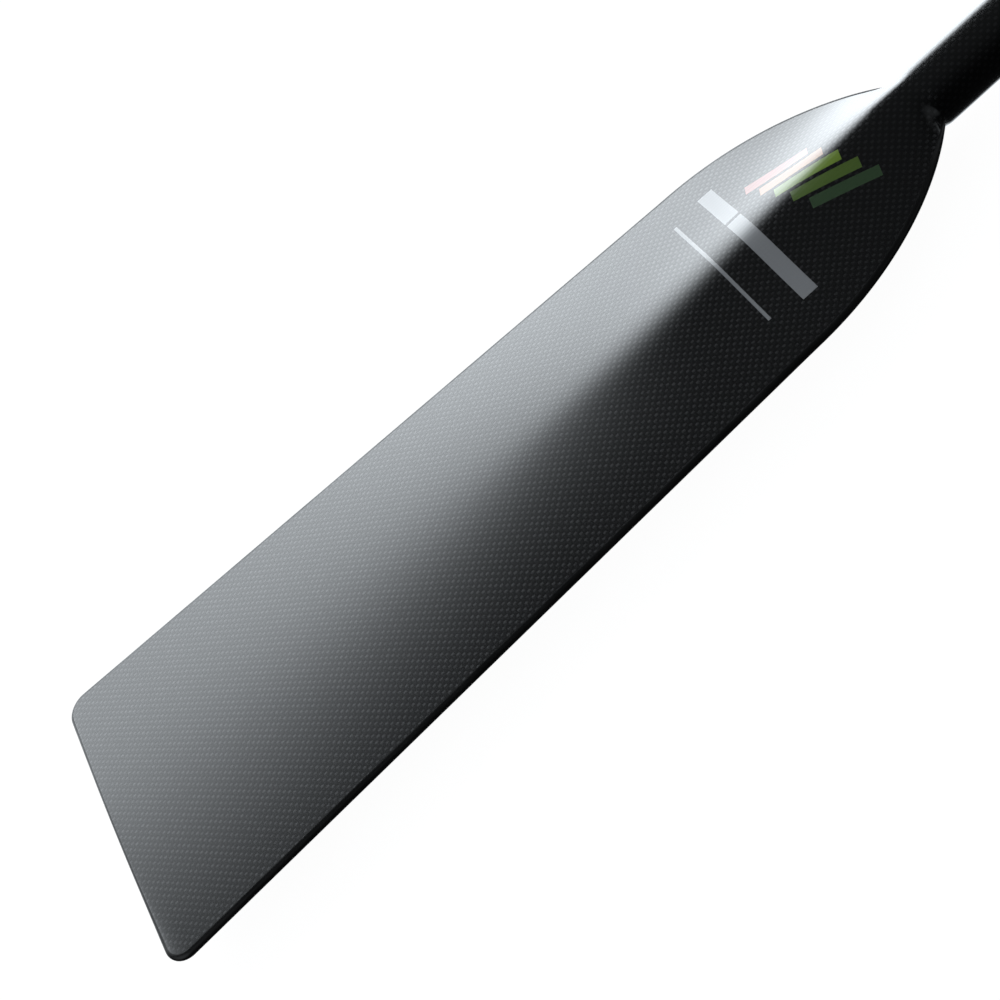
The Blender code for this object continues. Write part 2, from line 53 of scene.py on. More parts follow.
# ---------------------------------------------------------------- measures read from the frame
TIP_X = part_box("blade_edge_rim")[0].x
shaft_low, shaft_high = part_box("shaft_tube")
AXIS_HEIGHT = (shaft_low.z + shaft_high.z) / 2
SHAFT_RADIUS = (shaft_high.z - shaft_low.z) / 2
NECK_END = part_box("blade_front_skin")[1].x - TIP_X
SHAFT_START, SHAFT_END = shaft_low.x - TIP_X, shaft_high.x - TIP_X
handle_low, handle_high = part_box("handle_tube")
HANDLE_RADIUS = (handle_high.z - handle_low.z) / 2
HANDLE_START, HANDLE_END = handle_low.x - TIP_X, handle_high.x - TIP_X
grip_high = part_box("grip_shell_top")[1]
GRIP_HALF_WIDTH = grip_high.y
GRIP_HEIGHT = grip_high.z - AXIS_HEIGHT
GRIP_END = grip_high.x - TIP_X

# ---------------------------------------------------------------- the blade, as in the CAD source
TIP_HALF_WIDTH = 87.3 * MM
TAPER = 0.0563
CORNER_RADIUS = 11 * MM
SHOULDER_RADIUS = 150.1 * MM
SHOULDER_STATION = 368 * MM
SHOULDER_OFFSET = -83.7 * MM
SHOULDER_START = 376.4 * MM
EDGE_HALF = 2 * MM
RIM_WIDTH = 2.2 * MM
RIM_END = 478 * MM
ROUNDING_START = 458 * MM
ROUNDING_END = 488 * MM
NARROWING_START = 472 * MM
NARROWING_END = 482 * MM
TIP_CROWN = 2.4 * MM
RIDGE_AT_NECK = 0.22
RIDGE_AT_TIP = 1.12
NECK_CROWN = SHAFT_RADIUS - EDGE_HALF
BELL_SHARE = 0.4
BELL_START = 200 * MM
BELL_END = 440 * MM
BELL_WIDTH = 20 * MM
RIM_NARROWING = 0.6  # share of the rim's width that is lost towards the neck
RIM_LEAST_WIDTH = 0.2 * MM
RIM_LEAST_HALF = 0.4 * MM
FLAT_BACK = 0.05 * MM  # each face's back lies this far off the middle plane
FEATHER = 0.02 * MM  # thickness of a face where it runs out
BLADE_COLUMNS = 120
BENT_SHARE = 0.4  # how much of a face's division across follows a sine
WALL = 1.5 * MM
HANDLE_WALL = 1.2 * MM
RUNNING_GAP = 0.3 * MM
BUSH_EDGE = 0.35 * MM
TOW = 2 * MM  # width of one tow of the carbon cloth

# ---------------------------------------------------------------- the grip
GRIP_DEPTH = 16 * MM
GRIP_END_DEPTH = 12.5 * MM
GRIP_END_HEIGHT = 14 * MM
GRIP_FLAT = 30 * MM
GRIP_DROOP = 3 * MM
GRIP_STATION = GRIP_END - GRIP_DEPTH
NECK_OVERLAP = 12 * MM  # how far the grip's neck reaches over the handle tube
NECK_WALL = 1.4 * MM
NECK_SPREAD = 15 * MM
NECK_RISE = 3.5 * MM
VOXEL = 0.9 * MM  # cell of the remesh that blends the bar and the neck
RELAX_ROUNDS = 12
SEAM_HALF = 0.12 * MM  # half the gap of the moulding seam
RING_POINTS = 64


def place(station, y, z):
    return Vector((TIP_X + station, y, AXIS_HEIGHT + z))


def spread(low, high, steps):
    return [low + (high - low) * i / steps for i in range(steps + 1)]


def smooth(value):
    value = min(max(value, 0.0), 1.0)
    return value * value * (3 - 2 * value)


# ---------------------------------------------------------------- the cloth and its print
TOW_ENDS = 0.6  # how square a tow's float is along its length
TOW_SIDES = 1.6  # how round it is across
TOW_DEPTH = 0.06 * MM
FLOAT_VARIETY = (0.75, 1.25)
FIBRE_VARIETY = (0.85, 1.15)
FIBRE_SCALE = (400.0, 6000.0, 1.0)
ACROSS_SHARE = 0.5  # how much of the crossways tows shows
CLOTH_DARK = (0.0045, 0.0045, 0.0048, 1.0)
CLOTH_LIGHT = (0.036, 0.036, 0.037, 1.0)
CLOTH_ACROSS = (0.009, 0.009, 0.0095, 1.0)

PALE_INK = (0.22, 0.225, 0.235, 1.0)
RED_INK = (0.30, 0.035, 0.01, 1.0)
ORANGE_INK = (0.32, 0.11, 0.01, 1.0)
BRIGHT_GREEN_INK = (0.15, 0.25, 0.01, 1.0)
GREEN_INK = (0.07, 0.13, 0.01, 1.0)
DARK_GREEN_INK = (0.02, 0.055, 0.015, 1.0)
BAR_INKS = (RED_INK, ORANGE_INK, BRIGHT_GREEN_INK, GREEN_INK, DARK_GREEN_INK)
BAR_SIZE = (32 * MM, 5.6 * MM)
BAR_PITCH = 9.5 * MM
BAR_STATION = 414 * MM
BAR_TURN = -20
BAR_SIDE = 20 * MM  # how far the first bar lies from the axis
BAR_STEP = 3.5 * MM  # how much nearer the neck each next bar lies
STRIPE_STATION = 386 * MM
STRIPE_WIDTH = 8 * MM
FAR_STRIPE = (31 * MM, 30 * MM)  # middle and length, across the blade
NEAR_STRIPE = (-16 * MM, 60 * MM)
FINE_STRIPE_STATION = 366.5 * MM
FINE_STRIPE_SIZE = (1.6 * MM, 84 * MM)
INK_EDGE = 0.15 * MM  # softness of the printed edges

# ---------------------------------------------------------------- other finishes
NOISE_RANGE = (0.3, 0.7)  # most of a noise's values lie between these
CLOTH_BUMP = 0.6
GRAIN_BUMP = 0.5
MOTTLE_SCALE = 35.0
MOTTLE_SHADE = 0.7
GRAIN_GLOSS = 0.06
TOOL_MARK_BUMP = 0.4
TOOL_MARK_DEPTH = 0.01 * MM
TOOL_MARK_SHADE = 0.8
TOOL_MARK_GLOSS = 0.07
RESIN_WAVES = 60.0
RESIN_SHADES = (0.0012, 0.003)
RESIN_GLOSS = (0.3, 0.4)
SHARP_ANGLE = 35  # edges bent by more than this stay sharp
SMOOTH_ANGLE = 50
KEPT_ANGLE = 32
BEVEL_ANGLE = 38
TUBE_EDGE = 0.3 * MM

# ---------------------------------------------------------------- the studio
CAMERA_PLACE = (310.75 * MM, -637.9 * MM, 599.1 * MM)
CAMERA_AIM = (229.5 * MM, -7.3 * MM, 0.0)
CAMERA_ROLL = 47.23

ROOM_SIZE = 12.0
ROOM_LIGHT = 0.02
TOP_LIGHT = 0.12
LIGHT_COLOUR = (0.94, 1.0, 1.045, 1.0)
PANEL_STRENGTH = 4.7
PANEL_GAIN = 0.062  # loss for each degree towards the tip
PANEL_TOP = 28.0  # elevation where the light starts to fade upwards
PANEL_SOFT = 34.0  # degrees over which it fades
PANEL_LEAN = 0.27  # how much higher that starts for each degree towards the tip
PANEL_CRISP = 0.53  # how much shorter the fade is for each degree towards the tip
PANEL_BOTTOM = (-35.0, 25.0)  # elevations where it starts and is full
PANEL_LEFT = (-75.0, -40.0)  # azimuths of the same
PANEL_RIGHT = (13.0, 27.0)  # azimuths where it starts to fade and is gone
PANEL_SLANT = 0.35  # how far the right edge leans with elevation
# (azimuth, elevation), degrees within which it is full, degrees beyond which it is gone, strength
GLOWS = (
    ((-3, -25), 30, 60, 1.3),
    ((-115, 30), 15, 40, 1.2),
    ((62, 14), 15, 35, 1.4),
    ((125, 14), 10, 30, 0.2),
)
FLOOR_GLOW = 0.965
FLOOR_SHADE = 0.12
FLOOR_DROP = 0.2 * MM
LENS = 72
SENSOR = 36
NEAREST = 0.01


# ---------------------------------------------------------------- materials
class Graph:
    """Short names for the nodes of one material or world."""

    def __init__(self, tree):
        self.tree = tree

    def node(self, kind, **settings):
        made = self.tree.nodes.new(kind)
        for name, value in settings.items():
            setattr(made, name, value)
        return made

    def feed(self, socket, value):
        if isinstance(value, bpy.types.NodeSocket):
            self.tree.links.new(value, socket)
        else:
            socket.default_value = value

    def math(self, operation, *values):
        made = self.node("ShaderNodeMath", operation=operation)
        for socket, value in zip(made.inputs, values):
            self.feed(socket, value)
        return made.outputs[0]

    def ramp(self, value, low, high, to_low=0.0, to_high=1.0):
        """A smooth step of the value between two limits."""
        made = self.node("ShaderNodeMapRange", interpolation_type="SMOOTHSTEP")
        for socket, number in zip(made.inputs, (value, low, high, to_low, to_high)):
            self.feed(socket, number)
        return made.outputs[0]

    def mix(self, share, first, second):
        made = self.node("ShaderNodeMix", data_type="RGBA")
        self.feed(made.inputs[0], share)
        self.feed(made.inputs[6], first)
        self.feed(made.inputs[7], second)
        return made.outputs[2]

    def noise(self, vector, scale, detail=3.0):
        made = self.node("ShaderNodeTexNoise")
        self.feed(made.inputs["Vector"], vector)
        made.inputs["Scale"].default_value = scale
        made.inputs["Detail"].default_value = detail
        return made.outputs["Fac"]

    def bump(self, height, distance, strength=1.0):
        made = self.node("ShaderNodeBump")
        made.inputs["Strength"].default_value = strength
        made.inputs["Distance"].default_value = distance
        self.feed(made.inputs["Height"], height)
        return made.outputs["Normal"]


def principled(name, **values):
    """A new material's graph and shader, with constant values set on the shader's own sockets."""
    material = bpy.data.materials.new(name)
    material.use_nodes = True
    shader = material.node_tree.nodes["Principled BSDF"]
    for key, value in values.items():
        shader.inputs[key.replace("_", " ")].default_value = value
    return material, Graph(material.node_tree), shader


def grey(value):
    return (value, value, value, 1.0)


def weave(graph, u, v):
    """Plain cloth, coordinates in metres: how far each set of tows rises, and the place in cells."""
    cell_u = graph.math("DIVIDE", u, TOW)
    cell_v = graph.math("DIVIDE", v, TOW)
    whole = graph.math("ADD", graph.math("FLOOR", cell_u), graph.math("FLOOR", cell_v))
    odd = graph.math("FLOORED_MODULO", whole, 2.0)
    in_u = graph.math("SINE", graph.math("MULTIPLY", graph.math("FRACT", cell_u), pi))
    in_v = graph.math("SINE", graph.math("MULTIPLY", graph.math("FRACT", cell_v), pi))
    along = graph.math("MULTIPLY", graph.math("POWER", in_u, TOW_ENDS), graph.math("POWER", in_v, TOW_SIDES))
    across = graph.math("MULTIPLY", graph.math("POWER", in_u, TOW_SIDES), graph.math("POWER", in_v, TOW_ENDS))
    even = graph.math("SUBTRACT", 1.0, odd)
    return graph.math("MULTIPLY", along, even), graph.math("MULTIPLY", across, odd), cell_u, cell_v


def cell_shade(graph, cell_u, cell_v):
    """A random number for each cell of the cloth."""
    corner = graph.node("ShaderNodeCombineXYZ")
    graph.feed(corner.inputs[0], graph.math("FLOOR", cell_u))
    graph.feed(corner.inputs[1], graph.math("FLOOR", cell_v))
    chance = graph.node("ShaderNodeTexWhiteNoise", noise_dimensions="2D")
    graph.feed(chance.inputs["Vector"], corner.outputs[0])
    return chance.outputs["Value"]


def box_mask(graph, u, v, centre, size, turn=0.0):
    """1 inside a turned rectangle of the (u, v) plane, with slightly soft edges."""
    du = graph.math("SUBTRACT", u, centre[0])
    dv = graph.math("SUBTRACT", v, centre[1])
    c, s = cos(radians(turn)), sin(radians(turn))
    along = graph.math("ADD", graph.math("MULTIPLY", du, c), graph.math("MULTIPLY", dv, s))
    across = graph.math("SUBTRACT", graph.math("MULTIPLY", dv, c), graph.math("MULTIPLY", du, s))
    masks = []
    for value, half in ((along, size[0] / 2), (across, size[1] / 2)):
        masks.append(graph.ramp(graph.math("ABSOLUTE", value), half - INK_EDGE, half + INK_EDGE, 1.0, 0.0))
    return graph.math("MULTIPLY", *masks)


def carbon(name, marks=()):
    """Carbon cloth under clear lacquer. Marks are printed rectangles: (centre, size, turn, colour)."""
    material, graph, shader = principled(
        name, Roughness=0.34, Coat_Weight=1.0, Coat_Roughness=0.03, Coat_IOR=1.5)
    uv = graph.node("ShaderNodeUVMap", uv_map="cloth")
    parts = graph.node("ShaderNodeSeparateXYZ")
    graph.feed(parts.inputs[0], uv.outputs[0])
    u, v = parts.outputs[0], parts.outputs[1]
    along, across, cell_u, cell_v = weave(graph, u, v)
    chance = cell_shade(graph, cell_u, cell_v)
    streaks = graph.node("ShaderNodeMapping")
    graph.feed(streaks.inputs["Vector"], uv.outputs[0])
    streaks.inputs["Scale"].default_value = FIBRE_SCALE
    fibres = graph.noise(streaks.outputs[0], 1.0, 2.0)
    light = graph.math("MULTIPLY", along, graph.ramp(chance, 0.0, 1.0, *FLOAT_VARIETY))
    light = graph.math("MULTIPLY", light, graph.ramp(fibres, *NOISE_RANGE, *FIBRE_VARIETY))
    colour = graph.mix(light, CLOTH_DARK, CLOTH_LIGHT)
    colour = graph.mix(graph.math("MULTIPLY", across, ACROSS_SHARE), colour, CLOTH_ACROSS)
    metal = 1.0
    for centre, size, turn, ink in marks:
        mask = box_mask(graph, u, v, centre, size, turn)
        colour = graph.mix(mask, colour, ink)
        metal = graph.math("SUBTRACT", metal, mask)
    graph.feed(shader.inputs["Base Color"], colour)
    graph.feed(shader.inputs["Metallic"], metal)
    height = graph.math("ADD", along, across)
    graph.feed(shader.inputs["Normal"], graph.bump(height, TOW_DEPTH, CLOTH_BUMP))
    return material


def blade_marks():
    """Two pale stripes across the blade, and a group of plain slanted bars towards the neck."""
    marks = [((FINE_STRIPE_STATION, 0.0), FINE_STRIPE_SIZE, 0, PALE_INK)]
    for middle, length in (FAR_STRIPE, NEAR_STRIPE):
        marks.append(((STRIPE_STATION, middle), (STRIPE_WIDTH, length), 0, PALE_INK))
    for number, ink in enumerate(BAR_INKS):
        centre = (BAR_STATION + BAR_STEP * number, BAR_SIDE - BAR_PITCH * number)
        marks.append((centre, BAR_SIZE, BAR_TURN, ink))
    return marks


def moulded(name, colour, roughness, grain, depth):
    """Moulded plastic with a fine texture and slightly uneven gloss."""
    material, graph, shader = principled(name)
    spot = graph.node("ShaderNodeTexCoord")
    fine = graph.noise(spot.outputs["Object"], grain, 4.0)
    wide = graph.noise(spot.outputs["Object"], MOTTLE_SCALE, 2.0)
    darker = tuple(MOTTLE_SHADE * c for c in colour[:3]) + (1.0,)
    gloss = graph.ramp(fine, *NOISE_RANGE, roughness - GRAIN_GLOSS, roughness + GRAIN_GLOSS)
    graph.feed(shader.inputs["Base Color"], graph.mix(graph.ramp(wide, *NOISE_RANGE), darker, colour))
    graph.feed(shader.inputs["Roughness"], gloss)
    graph.feed(shader.inputs["Normal"], graph.bump(fine, depth, GRAIN_BUMP))
    return material


def turned_metal(name, colour, roughness, stretch):
    """Metal with fine tool marks that run across the stretched axis."""
    material, graph, shader = principled(name, Metallic=1.0)
    spot = graph.node("ShaderNodeTexCoord")
    mapping = graph.node("ShaderNodeMapping")
    graph.feed(mapping.inputs["Vector"], spot.outputs["Object"])
    mapping.inputs["Scale"].default_value = stretch
    lines = graph.noise(mapping.outputs[0], 1.0, 2.0)
    darker = tuple(TOOL_MARK_SHADE * c for c in colour[:3]) + (1.0,)
    graph.feed(shader.inputs["Base Color"], graph.mix(lines, darker, colour))
    gloss = graph.ramp(lines, *NOISE_RANGE, roughness - TOOL_MARK_GLOSS, roughness + TOOL_MARK_GLOSS)
    graph.feed(shader.inputs["Roughness"], gloss)
    graph.feed(shader.inputs["Normal"], graph.bump(lines, TOOL_MARK_DEPTH, TOOL_MARK_BUMP))
    return material


def resin():
    """The blade's satin black edge, with long faint waves in its gloss."""
    material, graph, shader = principled("edge_resin", Specular_IOR_Level=0.25)
    spot = graph.node("ShaderNodeTexCoord")
    waves = graph.noise(spot.outputs["Object"], RESIN_WAVES, 2.0)
    dark, light = (grey(value) for value in RESIN_SHADES)
    graph.feed(shader.inputs["Base Color"], graph.mix(waves, dark, light))
    graph.feed(shader.inputs["Roughness"], graph.ramp(waves, *NOISE_RANGE, *RESIN_GLOSS))
    return material


CARBON_BLADE = carbon("carbon_weave_marked", blade_marks())
CARBON = carbon("carbon_weave")
RESIN = resin()
BLACK_NYLON = moulded("black_nylon", grey(0.022), 0.42, 2500.0, 0.03 * MM)
GREY_NYLON = moulded("grey_nylon", (0.15, 0.152, 0.158, 1.0), 0.45, 2500.0, 0.03 * MM)
GRIP_PLASTIC = moulded("grip_plastic", grey(0.026), 0.38, 1800.0, 0.05 * MM)
FOAM = moulded("core_foam", (0.72, 0.68, 0.55, 1.0), 0.9, 900.0, 0.2 * MM)
PLAIN_CARBON = moulded("plain_carbon", grey(0.03), 0.4, 1200.0, 0.03 * MM)
RUBBER = moulded("rubber", grey(0.02), 0.75, 1500.0, 0.04 * MM)
STEEL = turned_metal("steel", (0.60, 0.60, 0.61, 1.0), 0.28, (6000.0, 200.0, 200.0))
ALUMINIUM = turned_metal("aluminium", (0.68, 0.69, 0.71, 1.0), 0.32, (200.0, 6000.0, 200.0))


# ---------------------------------------------------------------- shapes
def piece(name, mesh, material, body, replaced=(), angle=SHARP_ANGLE):
    """Adds a finished mesh as a piece of the paddle."""
    bmesh.ops.remove_doubles(mesh, verts=mesh.verts, dist=1e-7)
    bmesh.ops.recalc_face_normals(mesh, faces=mesh.faces)
    if mesh.calc_volume(signed=True) < 0:
        bmesh.ops.reverse_faces(mesh, faces=mesh.faces)
    data = bpy.data.meshes.new(name)
    mesh.to_mesh(data)
    mesh.free()
    data.materials.append(material)
    data.shade_smooth()
    data.set_sharp_from_angle(angle=radians(angle))
    made = bpy.data.objects.new(name, data)
    scene.collection.objects.link(made)
    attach(made, body)
    if replaced:
        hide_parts(*replaced)
    return made


def loft(mesh, rings):
    """Faces through a row of rings with the same number of vertices, closed at both ends."""
    for first, second in zip(rings, rings[1:]):
        for j in range(len(first)):
            k = (j + 1) % len(first)
            mesh.faces.new((first[j], first[k], second[k], second[j]))
    mesh.faces.new(rings[0])
    mesh.faces.new(rings[-1])


def half_width(station, inset=0.0):
    """Half width of the blade's outline, moved inwards by the inset."""
    if station < CORNER_RADIUS:
        centre = TIP_HALF_WIDTH - TAPER * CORNER_RADIUS - CORNER_RADIUS
        reach = (CORNER_RADIUS - inset) ** 2 - (CORNER_RADIUS - station) ** 2
        return centre + sqrt(max(reach, 0.0))
    if station < SHOULDER_START:
        return TIP_HALF_WIDTH - TAPER * station - inset
    return SHOULDER_OFFSET + sqrt((SHOULDER_RADIUS - inset) ** 2 - (station - SHOULDER_STATION) ** 2)


def roundness(station):
    return smooth((station - ROUNDING_START) / (ROUNDING_END - ROUNDING_START))


def rim_width(station):
    return RIM_WIDTH * (1 - RIM_NARROWING * smooth((station - ROUNDING_START) / (RIM_END - ROUNDING_START)))


def panel_width(station):
    if station > RIM_END:
        return SHAFT_RADIUS
    return half_width(station, rim_width(station))


def bell(y):
    return 1 / (1 + (y / BELL_WIDTH) ** 2)


def crown(station, across):
    """Height of the face at a share of the panel's half width: a roof, partly a bell near the neck."""
    along = min(station / ROUNDING_START, 1.0)
    height = TIP_CROWN + (NECK_CROWN - TIP_CROWN) * along**2
    ridge = RIDGE_AT_NECK + (RIDGE_AT_TIP - RIDGE_AT_NECK) * (1 - along) ** 1.5
    full = sqrt(1 + ridge**2)
    roof = (full - sqrt(across**2 + ridge**2)) / (full - ridge)
    border = bell(panel_width(station))
    spine = (bell(across * panel_width(station)) - border) / (1 - border)
    share = BELL_SHARE * smooth((station - BELL_START) / (BELL_END - BELL_START))
    return EDGE_HALF + height * (roof + share * (spine - roof))


def face_point(station, across):
    """(y, z) on the front face at a share of its half width: the blade's panel, then the round neck."""
    turn = across * pi / 2
    share = smooth((station - NARROWING_START) / (NARROWING_END - NARROWING_START))
    y = (1 - share) * across * panel_width(station) + share * SHAFT_RADIUS * sin(turn)
    share = roundness(station)
    z = (1 - share) * crown(station, abs(across)) + share * SHAFT_RADIUS * cos(turn)
    return y, z


def blade_stations():
    corner = [CORNER_RADIUS - (CORNER_RADIUS - RIM_WIDTH) * cos(radians(a)) for a in spread(0, 90, 12)[:-1]]
    sides = spread(CORNER_RADIUS, SHOULDER_START, 60)
    shoulder = spread(SHOULDER_START, ROUNDING_START, 30)[1:]
    neck = spread(ROUNDING_START, ROUNDING_END, 24)[1:]
    return corner + sides + shoulder + neck + spread(ROUNDING_END, NECK_END, 6)[1:]


def blade_face(name, side, replaced, material):
    """One face of the blade with half of the neck, closed by a flat back just off the middle plane."""
    mesh = bmesh.new()
    cloth = mesh.loops.layers.uv.new("cloth")
    columns = BLADE_COLUMNS
    shares = [BENT_SHARE * sin(radians(a)) + (1 - BENT_SHARE) * a / 90 for a in spread(-90, 90, columns)]
    grid, flat, coordinates = [], [], {}
    for station in blade_stations():
        section = [face_point(station, share) for share in shares]
        top = [mesh.verts.new(place(station, y, side * z)) for y, z in section]
        back = [(y, min(z - FEATHER, FLAT_BACK)) for y, z in section]
        low = [mesh.verts.new(place(station, y, side * z)) for y, z in back]
        reach = [0.0]
        for (y0, z0), (y1, z1) in zip(section, section[1:]):
            reach.append(reach[-1] + sqrt((y1 - y0) ** 2 + (z1 - z0) ** 2))
        for vert, other, along in zip(top, low, reach):
            coordinates[vert] = coordinates[other] = (station, along - reach[-1] / 2)
        grid.append(top)
        flat.append(low)
    rows = len(grid)
    for i in range(rows - 1):
        for j in range(columns):
            mesh.faces.new((grid[i][j], grid[i + 1][j], grid[i + 1][j + 1], grid[i][j + 1]))
            mesh.faces.new((flat[i][j], flat[i + 1][j], flat[i + 1][j + 1], flat[i][j + 1]))
        for j in (0, columns):
            mesh.faces.new((grid[i][j], grid[i + 1][j], flat[i + 1][j], flat[i][j]))
    for i in (0, rows - 1):
        for j in range(columns):
            mesh.faces.new((grid[i][j], grid[i][j + 1], flat[i][j + 1], flat[i][j]))
    for face in mesh.faces:
        for loop in face.loops:
            loop[cloth].uv = coordinates[loop.vert]
    return piece(name, mesh, material, "paddle", replaced, SMOOTH_ANGLE)


def rim_stations():
    """(outer point, inner point, half height) along one side of the rim, from the tip's middle on."""
    corner_y = half_width(0.0)
    rows = []
    for y in spread(0.0, corner_y, 16)[:-1]:
        rows.append(((0.0, y), (RIM_WIDTH, y), crown(RIM_WIDTH, y / corner_y)))
    for turn in spread(0, 90, 16)[:-1]:
        c, s = cos(radians(turn)), sin(radians(turn))
        reach = CORNER_RADIUS - RIM_WIDTH
        out = (CORNER_RADIUS * (1 - c), corner_y + CORNER_RADIUS * s)
        rows.append((out, (CORNER_RADIUS - reach * c, corner_y + reach * s), EDGE_HALF))
    sides = spread(CORNER_RADIUS, SHOULDER_START, 40) + spread(SHOULDER_START, ROUNDING_START, 30)[1:]
    for station in sides + spread(ROUNDING_START, RIM_END, 16)[1:]:
        border, height = face_point(station, 1.0)
        outer = max(half_width(station), border + RIM_LEAST_WIDTH)
        rows.append(((station, outer), (station, border), max(height, RIM_LEAST_HALF)))
    return rows


def rim():
    half = rim_stations()
    rows = [((a[0], -a[1]), (b[0], -b[1]), h) for a, b, h in reversed(half[1:])] + half
    steps = 12
    mesh = bmesh.new()
    rings = []
    for outer, inner, height in rows:
        ring = []
        for turn in spread(90, -90, steps):
            share = 1 - cos(radians(turn))
            station = outer[0] + (inner[0] - outer[0]) * share
            y = outer[1] + (inner[1] - outer[1]) * share
            ring.append(mesh.verts.new(place(station, y, height * sin(radians(turn)))))
        rings.append(ring)
    loft(mesh, rings)
    return piece("edge_rim", mesh, RESIN, "paddle", ("blade_edge_rim",), SMOOTH_ANGLE)


def turned(name, profile, material, body, replaced=(), steps=96):
    """A closed profile of (station, radius) points, turned round the shaft's axis, with cloth coordinates."""
    mesh = bmesh.new()
    cloth = mesh.loops.layers.uv.new("cloth")
    outside = max(radius for _, radius in profile)
    rings = []
    for station, radius in profile:
        ring = []
        for i in range(steps):
            turn = 2 * pi * i / steps
            ring.append(mesh.verts.new(place(station, radius * sin(turn), radius * cos(turn))))
        rings.append(ring)
    for a, first in enumerate(rings):
        second = rings[(a + 1) % len(rings)]
        ends = (profile[a][0], profile[(a + 1) % len(rings)][0])
        for i in range(steps):
            k = (i + 1) % steps
            face = mesh.faces.new((first[i], first[k], second[k], second[i]))
            around = (i, i + 1, i + 1, i)
            stations = (ends[0], ends[0], ends[1], ends[1])
            for loop, number, station in zip(face.loops, around, stations):
                loop[cloth].uv = (station, 2 * pi * outside * number / steps)
    return piece(name, mesh, material, body, replaced)


def tube_profile(low, high, bore, radius):
    edge = TUBE_EDGE
    outer = [(low, radius - edge), (low + edge, radius), (high - edge, radius), (high, radius - edge)]
    return [(low, bore)] + outer + [(high, bore)]


def blade():
    blade_face("front_lay", 1, ("blade_front_skin",), CARBON_BLADE)
    blade_face("back_lay", -1, ("blade_back_skin",), CARBON)
    rim()


def shaft():
    profile = tube_profile(SHAFT_START, SHAFT_END, SHAFT_RADIUS - WALL, SHAFT_RADIUS)
    turned("shaft", profile, CARBON, "paddle", ("shaft_tube",))
    profile = tube_profile(HANDLE_START, HANDLE_END, HANDLE_RADIUS - HANDLE_WALL, HANDLE_RADIUS)
    turned("handle_shaft", profile, CARBON, "handle", ("handle_tube",))
    low, high = (corner.x - TIP_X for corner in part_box("shaft_bush"))
    mouth, bore = SHAFT_END + RUNNING_GAP, HANDLE_RADIUS + RUNNING_GAP
    sleeve = SHAFT_RADIUS - WALL - RUNNING_GAP
    profile = [(low, bore), (low, sleeve), (mouth, sleeve), (mouth, SHAFT_RADIUS - BUSH_EDGE)]
    profile += [(mouth + BUSH_EDGE, SHAFT_RADIUS), (high - BUSH_EDGE, SHAFT_RADIUS)]
    profile += [(high, SHAFT_RADIUS - BUSH_EDGE), (high, bore + BUSH_EDGE), (high - BUSH_EDGE, bore)]
    turned("bush", profile, GREY_NYLON, "paddle", ("shaft_bush",))


def soften(name, width, material):
    """A CAD node that stays, with softened edges and its finished material."""
    thing = nodes[name]
    thing.data.materials.clear()
    thing.data.materials.append(material)
    if width:
        bevel = thing.modifiers.new("soft_edges", "BEVEL")
        bevel.width = width
        bevel.segments = 2
        bevel.limit_method = "ANGLE"
        bevel.angle_limit = radians(BEVEL_ANGLE)
        bevel.harden_normals = True
    thing.data.shade_smooth()
    thing.data.set_sharp_from_angle(angle=radians(KEPT_ANGLE))


def carried_over():
    finishes = {
        "clamp_collar": (0.5 * MM, BLACK_NYLON),
        "clamp_lever": (0.5 * MM, BLACK_NYLON),
        "clamp_wear_plate": (0.2 * MM, STEEL),
        "clamp_bolt": (0.3 * MM, STEEL),
        "clamp_barrel": (0.3 * MM, STEEL),
        "tension_nut": (0.25 * MM, ALUMINIUM),
        "handle_end_plug": (0.2 * MM, GREY_NYLON),
        "handle_o_ring": (0.0, RUBBER),
        "grip_core": (0.0, GREY_NYLON),
        "grip_pin": (0.2 * MM, STEEL),
        "neck_spigot": (0.0, PLAIN_CARBON),
        "neck_plug": (0.0, FOAM),
        "blade_spine_web": (0.0, PLAIN_CARBON),
        "blade_core_left": (0.0, FOAM),
        "blade_core_right": (0.0, FOAM),
        "grip_end_cap_left": (0.6 * MM, GREY_NYLON),
        "grip_end_cap_right": (0.6 * MM, GREY_NYLON),
    }
    for name, (width, material) in finishes.items():
        soften(name, width, material)


# ---------------------------------------------------------------- the grip's form
def grip_form():
    """The grip's bar and the neck that leads into it, as two closed forms in one mesh."""
    mesh = bmesh.new()
    turns = spread(0, 2 * pi, RING_POINTS)[:-1]
    bar = []
    for y in spread(-GRIP_HALF_WIDTH, GRIP_HALF_WIDTH, 48):
        share = abs(y) / GRIP_HALF_WIDTH
        fall = smooth((abs(y) - GRIP_FLAT) / (GRIP_HALF_WIDTH - GRIP_FLAT) / 2) * 2
        depth = GRIP_DEPTH + (GRIP_END_DEPTH - GRIP_DEPTH) * share**2
        height = GRIP_HEIGHT + (GRIP_END_HEIGHT - GRIP_HEIGHT) * fall
        centre = GRIP_STATION - GRIP_DROOP * share**2
        ring = [place(centre + depth * cos(t), y, height * sin(t)) for t in turns]
        bar.append([mesh.verts.new(p) for p in ring])
    neck = []
    neck_start = HANDLE_END - NECK_OVERLAP
    for station in spread(neck_start, GRIP_STATION, 24):
        share = (station - neck_start) / (GRIP_STATION - neck_start)
        wide = HANDLE_RADIUS + NECK_WALL + NECK_SPREAD * share**3
        tall = HANDLE_RADIUS + NECK_WALL + NECK_RISE * smooth(share)
        ring = [place(station, wide * cos(t), tall * sin(t)) for t in turns]
        neck.append([mesh.verts.new(p) for p in ring])
    loft(mesh, bar)
    loft(mesh, neck)
    bmesh.ops.recalc_face_normals(mesh, faces=mesh.faces)
    return mesh


